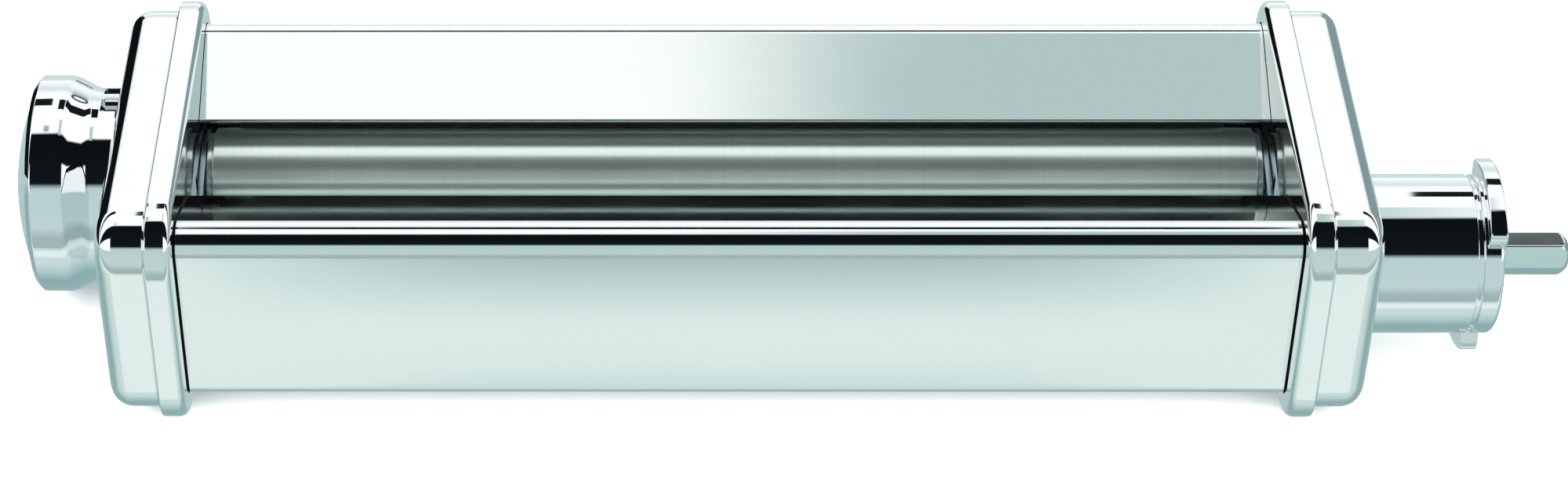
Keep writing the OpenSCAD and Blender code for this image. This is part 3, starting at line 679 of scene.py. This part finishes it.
machined_steel = metal(
    "machined_steel", "#b9bdc0", 0.3, (1200.0, 300.0, 1200.0), 0.004, 0.06, 0.07
)
ground_steel = metal("ground_rod_steel", "#d0d4d6", 0.16, (1600.0, 60.0, 60.0), 0.002, 0.04, 0.04)
zinc = metal("zinc_plated_steel", "#bcc4cb", 0.32, (700.0, 700.0, 700.0), 0.003, 0.08, 0.08)
wire = metal("drawn_spring_wire", "#a9adb1", 0.25, (900.0, 900.0, 900.0), 0.002, 0.05, 0.05)
bronze = metal("sintered_bronze", "#b08d57", 0.42, (2600.0, 2600.0, 2600.0), 0.01, 0.08, 0.18)
finish_cad([
    "left_bearing_block", "right_bearing_block", "left_cam", "right_cam", "drive_gear",
    "driven_gear",
], machined_steel)
finish_cad([
    "front_lower_tie_rod", "rear_lower_tie_rod", "front_upper_tie_rod", "rear_upper_tie_rod",
    "adjusting_shaft", "index_pin",
], ground_steel)
finish_cad([n for n in frame["nodes"] if n.endswith(("_screw", "_screws", "_key"))], zinc)
finish_cad(["knob_spring"], wire)
finish_cad([n for n in frame["nodes"] if n.endswith("_bush")], bronze)

nylon = bpy.data.materials.new("moulded_nylon")
nylon.use_nodes = True
tree = nylon.node_tree
plastic = tree.nodes["Principled BSDF"]
where = add(tree, "TexCoord").outputs["Object"]
mottle = add(tree, "TexNoise", {"Vector": where}, Scale=220.0, Detail=3.0)
tone = add(tree, "ValToRGB", {"Fac": mottle.outputs["Fac"]})
tone.color_ramp.elements[0].color = colour("#d6d5cc")
tone.color_ramp.elements[1].color = colour("#e6e5de")
dimple = add(tree, "Bump", {"Height": mottle.outputs["Fac"]}, Strength=0.4, Distance=0.00005)
tree.links.new(tone.outputs["Color"], plastic.inputs["Base Color"])
tree.links.new(dimple.outputs["Normal"], plastic.inputs["Normal"])
plastic.inputs["Roughness"].default_value = 0.45
finish_cad(["front_scraper", "rear_scraper"], nylon)

# ---- Studio --------------------------------------------------------------------------------
# A pale table in a room of soft boxes, black flags and grey walls, which the polished metal
# shows as clean bands. Matt surfaces, the table among them, are lit by an even white instead.

bpy.ops.mesh.primitive_plane_add(size=6.0, location=(0, 0, 0))
table = bpy.context.object
table.name = "table"
paper = bpy.data.materials.new("white_table_paper")
paper.use_nodes = True
tree = paper.node_tree
where = add(tree, "TexCoord").outputs["Object"]
pulp = add(tree, "TexNoise", {"Vector": where}, Scale=60.0, Detail=4.0)
shade = add(tree, "ValToRGB", {"Fac": pulp.outputs["Fac"]})
shade.color_ramp.elements[0].color = colour("#f6f6f6")
shade.color_ramp.elements[1].color = colour("#f9f9f9")
tree.links.new(shade.outputs["Color"], tree.nodes["Principled BSDF"].inputs["Base Color"])
tree.nodes["Principled BSDF"].inputs["Roughness"].default_value = 0.9
tree.nodes["Principled BSDF"].inputs["Specular IOR Level"].default_value = 0.1
table.data.materials.append(paper)
table.visible_glossy = False

# Brightness of the room by angle in degrees, from straight ahead of the object over its top.
ROOM = [
    (-180, "#cfdcdb"), (-116, "#8fa9ab"), (-88, "#8aa8a9"), (-70, "#aec6c3"), (-56, "#c6d7d4"),
    (-48, "#c6d6d4"), (-46.5, "#dce8e6"), (-40.4, "#dfeae8"), (-38.6, "#d6e3e1"), (-37, "#cddcda"),
    (-36, "#c5d5d3"), (-35, "#bacac9"), (-34, "#9fb2b0"), (-22, "#a0b3b2"), (-10, "#bccfcd"),
    (32, "#b7cbc9"),
    (38, "#10151a"), (92, "#0b0f12"), (94, "#ffffff"), (148, "#ffffff"), (158, "#d2dfde"),
    (180, "#cfdcdb"),
]
world = bpy.data.worlds.new("studio")
bpy.context.scene.world = world
world.use_nodes = True
tree = world.node_tree
tree.nodes.clear()
looking = add(tree, "TexCoord").outputs["Generated"]
axes = add(tree, "SeparateXYZ", {"Vector": looking}).outputs
ahead = add(tree, "Math", {0: axes["Y"]}, operation="MULTIPLY")
ahead.inputs[1].default_value = -1
rise = add(tree, "Math", {0: axes["Z"], 1: ahead.outputs[0]}, operation="ARCTAN2").outputs[0]
whole = add(tree, "MapRange", {"Value": rise})
whole.inputs["From Min"].default_value = -math.pi
whole.inputs["From Max"].default_value = math.pi
ramp = add(tree, "ValToRGB", {"Fac": whole.outputs["Result"]})
for degrees, text in ROOM:
    stop = ramp.color_ramp.elements.new((degrees + 180) / 360)
    stop.color = colour(text)
ramp.color_ramp.elements.remove(ramp.color_ramp.elements[0])
ramp.color_ramp.elements.remove(ramp.color_ramp.elements[-1])


def window(value, low, high, soft):
    """1 where the value lies between low and high, fading to 0 over soft."""
    edges = []
    for start, end in ((low - soft, low), (high + soft, high)):
        edge = add(tree, "MapRange", {"Value": value}, interpolation_type="SMOOTHSTEP")
        edge.inputs["From Min"].default_value = start
        edge.inputs["From Max"].default_value = end
        edges.append(edge.outputs["Result"])
    return add(tree, "Math", {0: edges[0], 1: edges[1]}, operation="MULTIPLY").outputs[0]


def hang(room, across, up, text):
    """Hangs a screen of one colour in the room, where both the across and the up masks are 1."""
    both = add(tree, "Math", {0: across, 1: up}, operation="MULTIPLY").outputs[0]
    mixed = add(tree, "Mix", {"A": room}, data_type="RGBA")
    tree.links.new(both, mixed.inputs["Factor"])
    mixed.inputs["B"].default_value = colour(text)
    return mixed.outputs["Result"]


side = axes["X"]
aside = add(tree, "Math", {0: side}, operation="ABSOLUTE").outputs[0]
turned_away = add(tree, "Math", {0: rise}, operation="ABSOLUTE").outputs[0]
# Each screen: what is measured across, from, to and fade; what is measured upwards, from, to
# and fade, in radians; and its colour.
SCREENS = [
    # A grey wall behind and to the right.
    (side, 0.07, 0.165, 0.08, rise, 1.6, 1.9, 0.03, "#b1c4c2"),
    # Thin black strips across the soft box: over the panels, the collar and the knob.
    (side, -0.132, 0.167, 0.002, rise, 2.16, 2.41, 0.01, "#14181c"),
    (side, 0.198, 1.0, 0.002, rise, 2.27, 2.44, 0.02, "#14181c"),
    (side, -1.0, -0.156, 0.002, rise, 2.27, 2.44, 0.02, "#14181c"),
    # White sides above the front edge, for the rounded ends.
    (aside, 0.45, 1.0, 0.05, rise, 0.5, 1.02, 0.06, "#ffffff"),
    # A black flag far back on the left and a grey one on the right.
    (side, -1.0, -0.42, 0.06, turned_away, 2.75, 3.2, 0.05, "#0c1013"),
    (side, 0.38, 1.0, 0.14, turned_away, 2.75, 3.2, 0.05, "#7f9398"),
    # A small grey card on the left, which the inner face of the right side frame shows.
    (side, -0.172, -0.16, 0.01, rise, 1.68, 1.76, 0.05, "#9aadad"),
]
# How bright the room looks in the metal, and how brightly it lights the matt surfaces.
ROOM_SEEN = 1.22
ROOM_FILL = 4.5
room = ramp.outputs["Color"]
for across, left, right, fade, up, low, high, blur, text in SCREENS:
    room = hang(room, window(across, left, right, fade), window(up, low, high, blur), text)
seen = add(tree, "Background", {"Color": room}, Strength=ROOM_SEEN)
plain = add(tree, "Background", Color=(1, 1, 1, 1), Strength=1.0)
fill = add(tree, "Background", Color=(1, 1, 1, 1), Strength=ROOM_FILL)
path = add(tree, "LightPath").outputs
matt = add(tree, "MixShader", {0: path["Is Diffuse Ray"], 1: seen.outputs[0], 2: fill.outputs[0]})
both = add(tree, "MixShader", {0: path["Is Camera Ray"], 1: matt.outputs[0], 2: plain.outputs[0]})
add(tree, "OutputWorld", {"Surface": both.outputs[0]})

softbox = bpy.data.lights.new("top_softbox", "AREA")
softbox.shape = "RECTANGLE"
softbox.size = 1.8
softbox.size_y = 1.6
softbox.energy = 10.0
lamp = bpy.data.objects.new("top_softbox", softbox)
lamp.location = (0, 0.1, 1.2)
lamp.visible_glossy = False
bpy.context.scene.collection.objects.link(lamp)

bpy.context.scene.view_settings.view_transform = "Standard"

# The camera, fitted to the object's straight edges: its angles in degrees, the length of its lens
# in millimetres, its place in metres and how far its frame is shifted.
ELEVATION = 39.766
YAW = 0.623
ROLL = -0.396
LENS = 85.19
EYE = (-0.01665, -0.40202, 0.34566)
FRAMING = 0.0963
LIFT = 0.0009
lens = bpy.data.cameras.new("camera")
lens.lens = LENS
lens.sensor_width = 36.0
lens.shift_x = FRAMING
lens.shift_y = LIFT
lens.clip_start = 0.01
camera = bpy.data.objects.new("camera", lens)
pan = Matrix.Rotation(math.radians(YAW), 4, "Z")
tilt = Matrix.Rotation(math.radians(90 - ELEVATION), 4, "X")
roll = Matrix.Rotation(math.radians(ROLL), 4, "Z")
camera.matrix_world = Matrix.Translation(EYE) @ (pan @ tilt) @ roll
bpy.context.scene.collection.objects.link(camera)
bpy.context.scene.camera = camera
